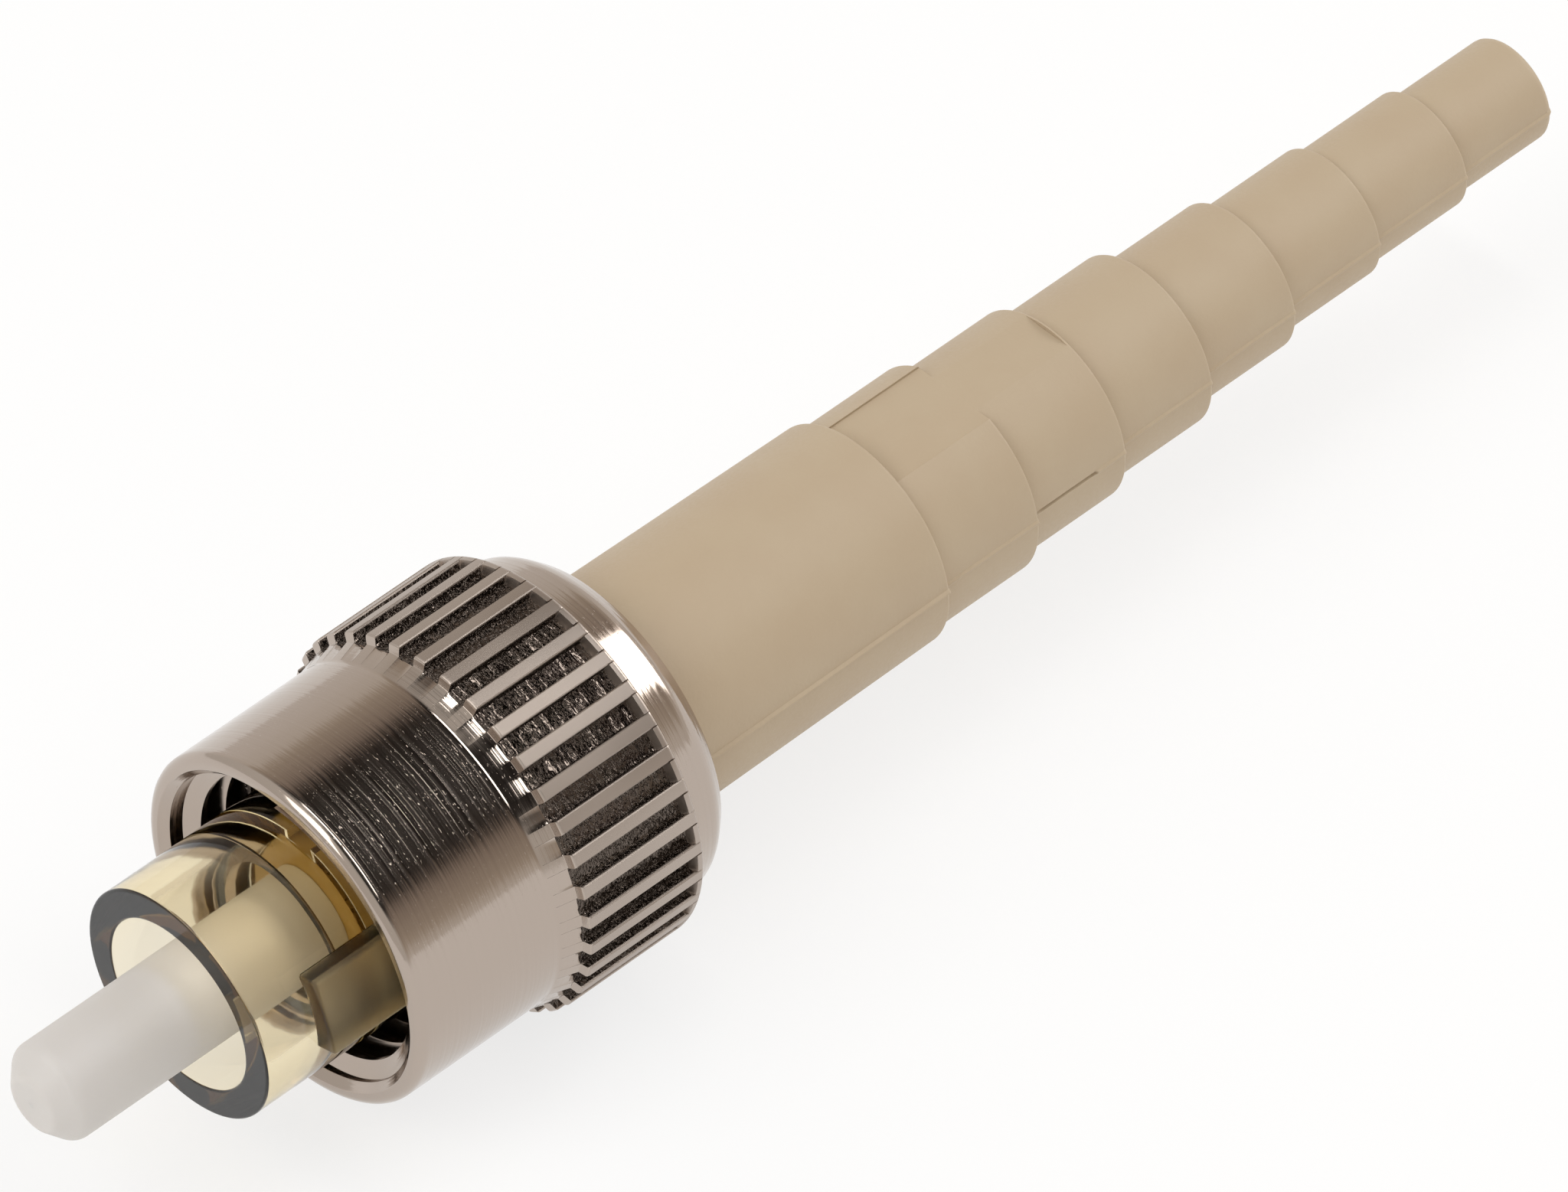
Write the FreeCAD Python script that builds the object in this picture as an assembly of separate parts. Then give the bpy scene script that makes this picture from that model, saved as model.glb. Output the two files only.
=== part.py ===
import FreeCAD, Part
import math
import os

V = FreeCAD.Vector
ORIGIN = V(0, 0, 0)
AXIS = V(0, 1, 0)

# The optical axis is Y. The plug's mating face looks along -Y, the cable leaves along +Y, and the
# origin is the centre of the nose rim. A station is a distance along Y and a radius is from Y.

# Ferrule and its bonded fibre
FERRULE_D = 2.5
FERRULE_PROJECTION = 4.33
FERRULE_TIP_D = 1.4
FERRULE_TIP_BEVEL = 0.53
FERRULE_SHANK_D = 2.0
FERRULE_SHANK_LENGTH = 3.0
FIBRE_D = 0.125
FIBRE_BOND = 0.001
FIBRE_TAIL = 4.0

# Plug frame
NOSE_D = 5.95
NOSE_BORE_D = 4.44
NOSE_DEPTH = 2.87
NOSE_RIM_BEVEL = 0.05
STOP_WALL = 0.88
STOP_HOLE_D = 3.7
FRAME_FLANGE_HEIGHT = 0.475
FRAME_FLANGE_LENGTH = 1.1
FRAME_FLANGE_AT = 9.5
KEY_AT = 1.5
KEY_LENGTH = 3.0
KEY_WIDTH = 2.0
KEY_HEIGHT = 0.445
KEY_ROOT = 0.45
KEY_BEVEL = 0.07
KEY_TILT = 15.0
RIB_WIDTH = 0.7
RIB_HEIGHT = 0.45

# Ferrule holder and its spring
HOLDER_FLANGE_LENGTH = 1.3
HOLDER_BARREL_D = 3.2
HOLDER_NECK_STEP = 0.2
HOLDER_GUIDE_GAP = 0.08
FIBRE_DUCT_D = 0.3
FIBRE_DUCT_LENGTH = 1.25
FLOAT_TRAVEL = 1.0
SPRING_LENGTH = 4.55
SPRING_BARREL_GAP = 0.14
SPRING_CHAMBER_GAP = 0.18
SPRING_WIRE_D = 0.38
SPRING_TURNS = 3.5
SPRING_WIRE_SIDES = 6

# Splice, its cam and the crimp tube
SPLICE_D = 1.84
SPLICE_GAP = 0.04
KEEL_WIDTH = 0.6
KEEL_LENGTH = 2.1
KEEL_GAP = 0.06
CAM_LENGTH = 3.6
CAM_WALL = 0.6
CAM_FLAT_DEPTH = 0.25
CAM_RUNNING_GAP = 0.05
CAM_KEEL_GAP = 0.02
CAM_RELIEF = 0.17
CAM_RELIEF_D = 2.4
CAM_END_PLAY = 0.1
CAM_TAIL_GAP = 0.3
TUBE_D = 1.8
TUBE_BORE_D = 1.05
TUBE_LENGTH = 8.9
TUBE_FLANGE_D = 3.7
TUBE_FLANGE_LENGTH = 0.5

# Spring retainer
RETAINER_LENGTH = 2.6
RETAINER_GUIDE_GAP = 0.08
RETAINER_FIT = 0.01
RETAINER_SHOULDER = 0.15
TAIL_WALL = 0.47
TAIL_LENGTH = 2.3
TAIL_RIDGE_HEIGHT = 0.13
TAIL_RIDGE_AT = 0.8
TAIL_RIDGE_LENGTH = 1.1

# Coupling nut and its retaining ring. The adapter's barrel, M8 on the outside, enters between nose and nut.
BARREL_ROOM = 1.025
NUT_MOUTH_BEVEL = 0.2
NUT_FRONT_AT = 3.14
NUT_WALL = 0.56
NUT_FRONT_BEVEL = 0.16
NUT_SMOOTH_LENGTH = 3.91
NUT_SHOULDER_LENGTH = 0.06
NUT_SHOULDER_HEIGHT = 0.15
NUT_BEVEL_LENGTH = 0.67
NUT_BAND_HEIGHT = 0.4
NUT_BAND_LENGTH = 3.35
NUT_BAND_BEVEL = 0.1
NUT_BEAD_STEP = 0.41
NUT_BEAD_LENGTH = 1.36
NUT_BEAD_SLOPE = 0.85
NUT_BEAD_BEVEL = 0.3
NUT_HOLE_GAP = 0.07
NUT_CAVITY_GAP = 0.25
NUT_PLAY = 0.45
FLUTES = 36
FLUTE_WIDTH = 0.5
FLUTE_DEPTH = 0.24
FLUTE_END_RIM = 0.22
RING_GRIP = 0.2
RING_FRAME_GAP = 0.275
RING_THICKNESS = 0.5
RING_OPENING = 60.0
RING_GROOVE_GAP = 0.05

# Boot
BOOT_PROUD = 0.01
BOOT_LENGTH = 29.4
BOOT_SLEEVE_LENGTH = 8.65
BOOT_STEP_SHARES = (0.915, 0.836, 0.755, 0.65, 0.57, 0.516, 0.452)
BOOT_SLEEVE_DRAFT = 0.009
BOOT_END_BEVEL = 0.15
BOOT_SEAT_GAP = 0.02
BOOT_FLOAT_SPARE = 0.2
BOOT_THROAT_D = 2.4
BOOT_THROAT_SPARE = 0.2
CABLE_BORE_D = 1.2
CABLE_CONE = 0.6
PANEL_WIDTH = 2.36
PANEL_DEPTH = 0.095
PANEL_END_WALL = 0.08

# Stations that several pieces share
SEAT_Y = NOSE_DEPTH + STOP_WALL
SPRING_Y = SEAT_Y + HOLDER_FLANGE_LENGTH
RETAINER_Y = SPRING_Y + SPRING_LENGTH
FRAME_END_Y = RETAINER_Y + RETAINER_LENGTH
TAIL_END_Y = FRAME_END_Y + TAIL_LENGTH
CAM_Y = TAIL_END_Y + CAM_TAIL_GAP
NECK_Y = CAM_Y - CAM_END_PLAY
HOLDER_END_Y = CAM_Y + CAM_LENGTH + CAM_END_PLAY
SPLICE_Y = SEAT_Y + FERRULE_SHANK_LENGTH + FIBRE_DUCT_LENGTH
KEEL_Y = CAM_Y + (CAM_LENGTH - KEEL_LENGTH) / 2
TUBE_END_Y = HOLDER_END_Y + TUBE_FLANGE_LENGTH + TUBE_LENGTH
FLANGE_END_Y = FRAME_FLANGE_AT + FRAME_FLANGE_LENGTH
LIP_Y = FLANGE_END_Y + NUT_PLAY
RING_Y = FRAME_FLANGE_AT - NUT_PLAY - RING_THICKNESS
NUT_SHOULDER_Y = NUT_FRONT_AT + NUT_SMOOTH_LENGTH
BEVEL_Y = NUT_SHOULDER_Y + NUT_SHOULDER_LENGTH
BAND_Y = BEVEL_Y + NUT_BEVEL_LENGTH
BEAD_Y = BAND_Y + NUT_BAND_LENGTH
NUT_END_Y = BEAD_Y + NUT_BEAD_LENGTH
SHOULDER_Y = FRAME_END_Y + BOOT_SLEEVE_LENGTH
BOOT_END_Y = FRAME_END_Y + BOOT_LENGTH
BOOT_STEP = (BOOT_END_Y - SHOULDER_Y) / len(BOOT_STEP_SHARES)

# Radii that follow from the nose, going outwards
NOSE_R = NOSE_D / 2
FLANGE_R = NOSE_R + FRAME_FLANGE_HEIGHT
THREAD_R = NOSE_R + BARREL_ROOM
RING_R = THREAD_R + RING_GRIP
NUT_FRONT_R = THREAD_R + NUT_WALL
NUT_BAND_R = NUT_FRONT_R + NUT_BAND_HEIGHT
NUT_BEAD_R = NUT_BAND_R - NUT_BEAD_STEP
BOOT_FRONT_R = NOSE_R + BOOT_PROUD
BOOT_STEP_R = [BOOT_FRONT_R * share for share in BOOT_STEP_SHARES]

# Radii that follow from the ferrule holder's barrel, going outwards
BARREL_R = HOLDER_BARREL_D / 2
SPRING_R = BARREL_R + SPRING_BARREL_GAP + SPRING_WIRE_D / 2
CHAMBER_R = SPRING_R + SPRING_WIRE_D / 2 + SPRING_CHAMBER_GAP
SEAT_R = CHAMBER_R + RETAINER_SHOULDER
RETAINER_BORE_R = BARREL_R + RETAINER_GUIDE_GAP
TAIL_R = RETAINER_BORE_R + TAIL_WALL
TAIL_RIDGE_R = TAIL_R + TAIL_RIDGE_HEIGHT
BOOT_BORE_R = TAIL_RIDGE_R + BOOT_SEAT_GAP
NECK_R = BARREL_R - HOLDER_NECK_STEP
CAM_BORE_R = NECK_R + CAM_RUNNING_GAP
CAM_R = CAM_BORE_R + CAM_WALL


def outline(points):
    """A closed face through (station, radius) points. A third value bevels that corner by as much."""
    corners = [V(p[1], p[0], 0) for p in points]
    path = []
    for i, point in enumerate(points):
        corner = corners[i]
        if len(point) < 3:
            path.append(corner)
            continue
        for neighbour in (corners[i - 1], corners[(i + 1) % len(corners)]):
            path.append(corner + (neighbour - corner).normalize() * point[2])
    return Part.Face(Part.makePolygon(path + path[:1]))


def turned(points):
    """The solid that an outline sweeps round the optical axis."""
    return outline(points).revolve(ORIGIN, AXIS, 360)


def rod(diameter, start, end):
    """A plain cylinder on the optical axis."""
    return Part.makeCylinder(diameter / 2, end - start, V(0, start, 0), AXIS)


def block(width, low, high, start, end):
    """A bar along the axis, centred on X = 0, between two heights."""
    return Part.makeBox(width, end - start, high - low, V(-width / 2, start, low))


def about_axis(shape, degrees):
    """A copy of a shape turned about the optical axis."""
    copy = shape.copy()
    copy.rotate(ORIGIN, AXIS, degrees)
    return copy


def ferrule():
    """Zirconia pin with a bevelled tip and a stepped shank in the holder."""
    tip = -FERRULE_PROJECTION
    bore = FIBRE_D / 2 + FIBRE_BOND
    end = SEAT_Y + FERRULE_SHANK_LENGTH
    return turned([
        (tip, bore),
        (tip, FERRULE_TIP_D / 2),
        (tip + FERRULE_TIP_BEVEL, FERRULE_D / 2),
        (SEAT_Y, FERRULE_D / 2),
        (SEAT_Y, FERRULE_SHANK_D / 2),
        (end, FERRULE_SHANK_D / 2),
        (end, bore),
    ])


def fibre_stub():
    """Bare fibre bonded in the ferrule, ending part way along the splice."""
    return rod(FIBRE_D, -FERRULE_PROJECTION, SPLICE_Y + FIBRE_TAIL)


def key_block():
    """Key that stands on the nose, with bevelled outer edges."""
    high = NOSE_R + KEY_HEIGHT
    key = block(KEY_WIDTH, NOSE_R - KEY_ROOT, high, KEY_AT, KEY_AT + KEY_LENGTH)
    top = [e for e in key.Edges if min(v.Z for v in e.Vertexes) > high - KEY_BEVEL]
    return about_axis(key.makeChamfer(KEY_BEVEL, top), 90 - KEY_TILT)


def tuning_ribs():
    """Two ribs in the chamber that stop the ferrule holder from turning."""
    low = CHAMBER_R - RIB_HEIGHT
    high = (CHAMBER_R + NOSE_R) / 2
    rib = block(RIB_WIDTH, low, high, SEAT_Y - STOP_WALL / 2, SPRING_Y)
    return [about_axis(rib, turn) for turn in (0, 180)]


def plug_frame():
    """Moulded frame: key, mating socket, stop wall, spring chamber and the flange for the nut."""
    body = turned([
        (0, NOSE_BORE_D / 2, NOSE_RIM_BEVEL),
        (0, NOSE_R, NOSE_RIM_BEVEL),
        (FRAME_FLANGE_AT, NOSE_R),
        (FRAME_FLANGE_AT, FLANGE_R),
        (FLANGE_END_Y, FLANGE_R),
        (FLANGE_END_Y, NOSE_R),
        (FRAME_END_Y, NOSE_R),
        (FRAME_END_Y, SEAT_R),
        (RETAINER_Y, SEAT_R),
        (RETAINER_Y, CHAMBER_R),
        (SEAT_Y, CHAMBER_R),
        (SEAT_Y, STOP_HOLE_D / 2),
        (NOSE_DEPTH, STOP_HOLE_D / 2),
        (NOSE_DEPTH, NOSE_BORE_D / 2),
    ])
    return body.fuse([key_block()] + tuning_ribs()).removeSplitter()


def ferrule_holder():
    """Flanged barrel that grips the ferrule's shank and houses the splice."""
    guide = CHAMBER_R - HOLDER_GUIDE_GAP
    chamber = SPLICE_D / 2 + SPLICE_GAP
    shank_end = SEAT_Y + FERRULE_SHANK_LENGTH
    body = turned([
        (SEAT_Y, FERRULE_SHANK_D / 2),
        (SEAT_Y, guide),
        (SPRING_Y, guide),
        (SPRING_Y, BARREL_R),
        (NECK_Y, BARREL_R),
        (NECK_Y, NECK_R),
        (HOLDER_END_Y, NECK_R),
        (HOLDER_END_Y, chamber),
        (SPLICE_Y, chamber),
        (SPLICE_Y, FIBRE_DUCT_D / 2),
        (shank_end, FIBRE_DUCT_D / 2),
        (shank_end, FERRULE_SHANK_D / 2),
    ])
    width = RIB_WIDTH + 2 * HOLDER_GUIDE_GAP
    low = CHAMBER_R - RIB_HEIGHT - HOLDER_GUIDE_GAP
    notch = block(width, low, 2 * CHAMBER_R, SEAT_Y, SPRING_Y)
    window = block(
        KEEL_WIDTH + 2 * KEEL_GAP, -CAM_R, 0, KEEL_Y - KEEL_GAP, KEEL_Y + KEEL_LENGTH + KEEL_GAP
    )
    return body.cut([about_axis(notch, turn) for turn in (0, 180)] + [window])


def splice_blank():
    """Round splice insert before it is split, reaching from the fibre duct to the holder's end."""
    return rod(SPLICE_D, SPLICE_Y, HOLDER_END_Y)


def splice_half_lower():
    """Lower splice insert with the fibre groove and the keel that the cam presses."""
    top = -FIBRE_BOND
    side = SPLICE_D
    half = splice_blank().common(block(2 * side, -side, top, SPLICE_Y, HOLDER_END_Y))
    groove = Part.makeBox(2 * FIBRE_D, HOLDER_END_Y, 2 * FIBRE_D, V(0, 0, 0))
    groove.rotate(ORIGIN, AXIS, -45)
    groove.translate(V(0, 0, -(FIBRE_D / 2 + FIBRE_BOND) * math.sqrt(2)))
    low = -(CAM_BORE_R - CAM_KEEL_GAP)
    keel = block(KEEL_WIDTH, low, top - SPLICE_D / 4, KEEL_Y, KEEL_Y + KEEL_LENGTH)
    return half.fuse(keel).cut(groove).removeSplitter()


def splice_half_upper():
    """Upper splice insert, flat on the fibre."""
    side = SPLICE_D
    lid = block(2 * side, FIBRE_D / 2 + FIBRE_BOND, side, SPLICE_Y, HOLDER_END_Y)
    return splice_blank().common(lid)


def cam_sleeve():
    """Sleeve that turns on the holder's neck and wedges the keel inwards, with flats for a spanner."""
    end = CAM_Y + CAM_LENGTH
    flats = 2 * (CAM_R - CAM_FLAT_DEPTH)
    body = rod(2 * CAM_R, CAM_Y, end).common(block(flats, -CAM_R, CAM_R, CAM_Y, end))
    relief = rod(CAM_RELIEF_D, CAM_Y, end)
    relief.translate(V(0, 0, CAM_RELIEF_D / 2 - CAM_BORE_R - CAM_RELIEF))
    return body.cut([rod(2 * CAM_BORE_R, CAM_Y, end), relief])


def crimp_tube():
    """Lead-in tube for the field fibre, flanged on the end of the holder."""
    bore = TUBE_BORE_D / 2
    step = HOLDER_END_Y + TUBE_FLANGE_LENGTH
    return turned([
        (HOLDER_END_Y, bore),
        (HOLDER_END_Y, TUBE_FLANGE_D / 2),
        (step, TUBE_FLANGE_D / 2),
        (step, TUBE_D / 2),
        (TUBE_END_Y, TUBE_D / 2),
        (TUBE_END_Y, bore),
    ])


def wire_section():
    """Flat-sided cross-section of the spring wire, where the helix starts."""
    centre = V(SPRING_R, 0, 0)
    turns = [2 * math.pi * i / SPRING_WIRE_SIDES for i in range(SPRING_WIRE_SIDES + 1)]
    return Part.makePolygon([centre + V(math.cos(t), 0, math.sin(t)) * (SPRING_WIRE_D / 2) for t in turns])


def spring():
    """Compression spring between the holder's flange and the retainer, with ground ends."""
    pitch = SPRING_LENGTH / SPRING_TURNS
    path = Part.makeHelix(pitch, SPRING_LENGTH, SPRING_R)
    coil = Part.Wire(path).makePipeShell([wire_section()], True, True)
    coil.rotate(ORIGIN, V(1, 0, 0), -90)
    coil.translate(V(0, SPRING_Y, 0))
    return coil.common(rod(2 * CHAMBER_R, SPRING_Y, RETAINER_Y))


def spring_retainer():
    """Bush seated in the frame's rear, guiding the holder and carrying the boot on its barbed tail."""
    outer = SEAT_R - RETAINER_FIT
    ridge = FRAME_END_Y + TAIL_RIDGE_AT
    return turned([
        (RETAINER_Y, RETAINER_BORE_R),
        (RETAINER_Y, outer),
        (FRAME_END_Y, outer),
        (FRAME_END_Y, TAIL_R),
        (ridge, TAIL_R),
        (ridge, TAIL_RIDGE_R),
        (ridge + TAIL_RIDGE_LENGTH, TAIL_R),
        (TAIL_END_Y, TAIL_R),
        (TAIL_END_Y, RETAINER_BORE_R),
    ])


def retaining_ring():
    """Open spring ring in the nut's groove, ahead of the frame's flange."""
    inner = NOSE_R + RING_FRAME_GAP
    ring = outline([
        (RING_Y, inner),
        (RING_Y, RING_R),
        (RING_Y + RING_THICKNESS, RING_R),
        (RING_Y + RING_THICKNESS, inner),
    ])
    ring.rotate(ORIGIN, AXIS, RING_OPENING / 2)
    return ring.revolve(ORIGIN, AXIS, 360 - RING_OPENING)


def nut_blank():
    """Turned coupling nut before its flutes are cut, with a plain bore at the thread's full diameter."""
    front = NUT_FRONT_AT
    groove = RING_R + RING_GROOVE_GAP
    groove_start = RING_Y - RING_GROOVE_GAP
    groove_end = RING_Y + RING_THICKNESS + RING_GROOVE_GAP
    cavity = FLANGE_R + NUT_CAVITY_GAP
    hole = BOOT_FRONT_R + NUT_HOLE_GAP
    return turned([
        (front, THREAD_R + NUT_MOUTH_BEVEL),
        (front, NUT_FRONT_R, NUT_FRONT_BEVEL),
        (NUT_SHOULDER_Y, NUT_FRONT_R),
        (BEVEL_Y, NUT_FRONT_R + NUT_SHOULDER_HEIGHT),
        (BAND_Y, NUT_BAND_R),
        (BEAD_Y, NUT_BAND_R, NUT_BAND_BEVEL),
        (BEAD_Y, NUT_BEAD_R),
        (NUT_END_Y - NUT_BEAD_SLOPE, NUT_BEAD_R, NUT_BEAD_BEVEL),
        (NUT_END_Y, NUT_BEAD_R - NUT_BEAD_SLOPE),
        (NUT_END_Y, hole),
        (LIP_Y, hole),
        (LIP_Y, cavity),
        (groove_end, cavity),
        (groove_end, groove),
        (groove_start, groove),
        (groove_start, THREAD_R),
        (front + NUT_MOUTH_BEVEL, THREAD_R),
    ])


def flute():
    """Cutter for one flute: a square groove, open through the front shoulder, that stops at the rear rim."""
    floor = NUT_BAND_R - FLUTE_DEPTH
    end = BEAD_Y - FLUTE_END_RIM
    return block(FLUTE_WIDTH, floor, NUT_BAND_R + FLUTE_DEPTH, NUT_SHOULDER_Y, end)


def coupling_nut():
    """Knurled coupling nut: smooth nose, fluted grip band, rounded rear bead."""
    cutters = [about_axis(flute(), 360 / FLUTES * i) for i in range(FLUTES)]
    return nut_blank().cut(cutters)


def boot_outline():
    """Outer corners of the boot from front to tail: a drafted sleeve and a row of straight steps."""
    points = [
        (FRAME_END_Y, BOOT_FRONT_R),
        (SHOULDER_Y, BOOT_FRONT_R - BOOT_SLEEVE_DRAFT * BOOT_SLEEVE_LENGTH),
    ]
    for i, radius in enumerate(BOOT_STEP_R):
        points.append((SHOULDER_Y + BOOT_STEP * i, radius))
        points.append((SHOULDER_Y + BOOT_STEP * (i + 1), radius))
    points[-1] += (BOOT_END_BEVEL,)
    return points


def boot():
    """Stepped strain-relief boot with its inner clearances and the flat panel on top."""
    room = HOLDER_END_Y + TUBE_FLANGE_LENGTH + FLOAT_TRAVEL + BOOT_FLOAT_SPARE
    throat_end = TUBE_END_Y + FLOAT_TRAVEL + BOOT_THROAT_SPARE
    body = turned(boot_outline() + [
        (BOOT_END_Y, CABLE_BORE_D / 2),
        (throat_end + CABLE_CONE, CABLE_BORE_D / 2),
        (throat_end, BOOT_THROAT_D / 2),
        (room, BOOT_THROAT_D / 2),
        (room, BOOT_BORE_R),
        (FRAME_END_Y, BOOT_BORE_R),
    ])
    floor = BOOT_STEP_R[1] - PANEL_DEPTH
    back = SHOULDER_Y + 2 * BOOT_STEP - PANEL_END_WALL
    return body.cut(block(PANEL_WIDTH, floor, 2 * BOOT_FRONT_R, SHOULDER_Y, back))


PIECES = (
    ferrule, fibre_stub, plug_frame, ferrule_holder, splice_half_lower, splice_half_upper, cam_sleeve,
    crimp_tube, spring, spring_retainer, retaining_ring, coupling_nut, boot,
)


def main():
    """Writes one solid per piece."""
    os.makedirs("parts", exist_ok=True)
    for piece in PIECES:
        piece().exportStep("parts/" + piece.__name__ + ".step")


main()
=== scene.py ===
"""Studio scene of a keyed fibre-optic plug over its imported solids. Lengths are metres unless said."""

import logging
import math
import random
from dataclasses import dataclass
from enum import Enum

import bmesh
import bpy
from mathutils import Matrix, Vector


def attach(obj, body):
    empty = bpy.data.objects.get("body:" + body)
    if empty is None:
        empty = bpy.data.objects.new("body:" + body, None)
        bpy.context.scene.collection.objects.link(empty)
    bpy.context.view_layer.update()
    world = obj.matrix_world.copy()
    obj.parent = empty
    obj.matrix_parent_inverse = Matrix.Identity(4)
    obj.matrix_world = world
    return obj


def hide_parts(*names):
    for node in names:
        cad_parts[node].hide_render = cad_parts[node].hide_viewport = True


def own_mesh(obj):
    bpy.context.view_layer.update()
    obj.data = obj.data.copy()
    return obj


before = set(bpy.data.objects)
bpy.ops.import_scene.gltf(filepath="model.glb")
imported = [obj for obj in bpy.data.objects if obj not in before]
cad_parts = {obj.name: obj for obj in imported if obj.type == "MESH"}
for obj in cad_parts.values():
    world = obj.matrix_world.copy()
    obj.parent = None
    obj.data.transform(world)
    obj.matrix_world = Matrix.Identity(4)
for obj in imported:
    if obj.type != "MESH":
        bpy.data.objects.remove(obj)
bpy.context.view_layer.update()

MM = 0.001
PHOTO_WIDTH = 2048
LOG = logging.getLogger("plug")

Point = tuple[float, float, float]
Place = tuple[float, float]
Colour = tuple[float, float, float, float]
Tree = bpy.types.NodeTree
Socket = bpy.types.NodeSocket
Setup = tuple[bpy.types.Material, Tree, Socket]


class Body(Enum):
    """The rigid bodies that pieces ride on."""

    PLUG = "plug"
    NUT = "nut"
    FERRULE = "ferrule_set"


class Cut(Enum):
    """Ways to join a tool shape with a blank."""

    ADD = "UNION"
    TAKE = "DIFFERENCE"


class PlateFinish(Enum):
    """The nut's finishes, by their place in its list of materials."""

    SMOOTH = 0
    LAND = 1
    FLOOR = 2


# Node helpers


def linear(code: str) -> Colour:
    """Turns an sRGB hex value into a linear colour.

    Args:
        code: six hex digits after a #.

    Returns:
        Linear red, green, blue and an alpha of one.
    """
    digits = code.lstrip("#")
    shares = [int(digits[i:i + 2], 16) / 255 for i in (0, 2, 4)]
    red, green, blue = (s / 12.92 if s <= 0.04045 else ((s + 0.055) / 1.055) ** 2.4 for s in shares)
    return red, green, blue, 1.0


def per_mm(*sizes: float) -> tuple[float, ...]:
    """Pattern units per metre for features of the given sizes in millimetres."""
    return tuple(1 / (size * MM) for size in sizes)


def add_node(tree: Tree, kind: str, settings: dict, links: dict | None = None) -> bpy.types.Node:
    """Adds a shader node.

    Args:
        tree: the node tree that gets the node.
        kind: the node's type name.
        settings: values by socket name, socket number or property name.
        links: source sockets by the name or number of the input they feed.

    Returns:
        The new node.
    """
    made = tree.nodes.new(kind)
    for name, value in settings.items():
        if isinstance(name, int) or name in made.inputs:
            made.inputs[name].default_value = value
        else:
            setattr(made, name, value)
    for name, source in (links or {}).items():
        tree.links.new(source, made.inputs[name])
    return made


def new_material(name: str) -> Setup:
    """Starts a material.

    Args:
        name: the material's name.

    Returns:
        The material, its emptied tree and the object coordinates in it.
    """
    material = bpy.data.materials.new(name)
    material.use_nodes = True
    tree = material.node_tree
    tree.nodes.clear()
    place = add_node(tree, "ShaderNodeTexCoord", {})
    return material, tree, place.outputs["Object"]


def noise(tree: Tree, place: Socket, sizes: Point, detail: float) -> Socket:
    """Adds a noise pattern.

    Args:
        tree: the node tree that gets it.
        place: the coordinates it follows.
        sizes: the size of its features along each axis, in millimetres.
        detail: how many finer layers it has.

    Returns:
        The pattern's value.
    """
    scaled = add_node(tree, "ShaderNodeMapping", {"Scale": per_mm(*sizes)}, {"Vector": place})
    settings = {"Scale": 1.0, "Detail": detail}
    made = add_node(tree, "ShaderNodeTexNoise", settings, {"Vector": scaled.outputs["Vector"]})
    return made.outputs["Fac"]


def spread(tree: Tree, value: Socket, source: Place, target: Place = (0.0, 1.0)) -> Socket:
    """Maps a range of a value to another range and holds it there.

    Args:
        tree: the node tree that gets the node.
        value: the value to map.
        source: the lowest and highest value read.
        target: what those become.

    Returns:
        The mapped value.
    """
    ends = {"From Min": source[0], "From Max": source[1], "To Min": target[0], "To Max": target[1]}
    return add_node(tree, "ShaderNodeMapRange", ends, {"Value": value}).outputs["Result"]


def fine_relief(tree: Tree, depth: float, height: Socket, under: Socket | None = None) -> Socket:
    """Adds a fine relief.

    Args:
        tree: the node tree that gets it.
        depth: its depth in metres.
        height: its pattern.
        under: the relief it lies on, if any.

    Returns:
        The normal it gives.
    """
    links = {"Height": height} if under is None else {"Height": height, "Normal": under}
    return add_node(tree, "ShaderNodeBump", {"Distance": depth}, links).outputs["Normal"]


def two_tone(tree: Tree, colour: str, shade: str, share: Socket) -> Socket:
    """Mixes two sRGB colours by a share from 0 to 1."""
    settings = {"data_type": "RGBA", 6: linear(colour), 7: linear(shade)}
    return add_node(tree, "ShaderNodeMix", settings, {0: share}).outputs[2]


def show(tree: Tree, shader: bpy.types.Node) -> None:
    """Makes a shader the material's surface."""
    add_node(tree, "ShaderNodeOutputMaterial", {}, {"Surface": shader.outputs["BSDF"]})


# Finishes


@dataclass(frozen=True)
class TurnedNickel:
    """Nickel plate on machined brass: lines from the tool and shorter marks over them."""

    name: str
    colour: str
    roughness: float
    line_mm: float = 0.1
    line_run_mm: float = 40.0
    line_depth: float = 0.000006
    mark_mm: float = 0.03
    mark_run_mm: float = 0.13
    mark_depth: float = 0.0000025
    mark_from: float = 0.68
    mark_rise: float = 0.15

    def material(self) -> bpy.types.Material:
        """Plate that follows the tool's lines and marks."""
        # Lines round the axis comb the edges of reflections. Deep marks look dark and glitter.
        made, tree, place = new_material(self.name)
        lines = noise(tree, place, (self.line_run_mm, self.line_mm, self.line_run_mm), 2.0)
        marks = noise(tree, place, (self.mark_run_mm, self.mark_mm, self.mark_run_mm), 2.0)
        nicks = spread(tree, marks, (self.mark_from, self.mark_from + self.mark_rise))
        combed = fine_relief(tree, self.line_depth, lines)
        marked = fine_relief(tree, self.mark_depth, nicks, combed)
        haze = spread(tree, lines, (0.35, 0.65), (self.roughness * 0.7, self.roughness * 1.4))
        shader = add_node(
            tree, "ShaderNodeBsdfPrincipled", {"Base Color": linear(self.colour), "Metallic": 1.0},
            {"Roughness": haze, "Normal": marked},
        )
        show(tree, shader)
        return made


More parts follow.
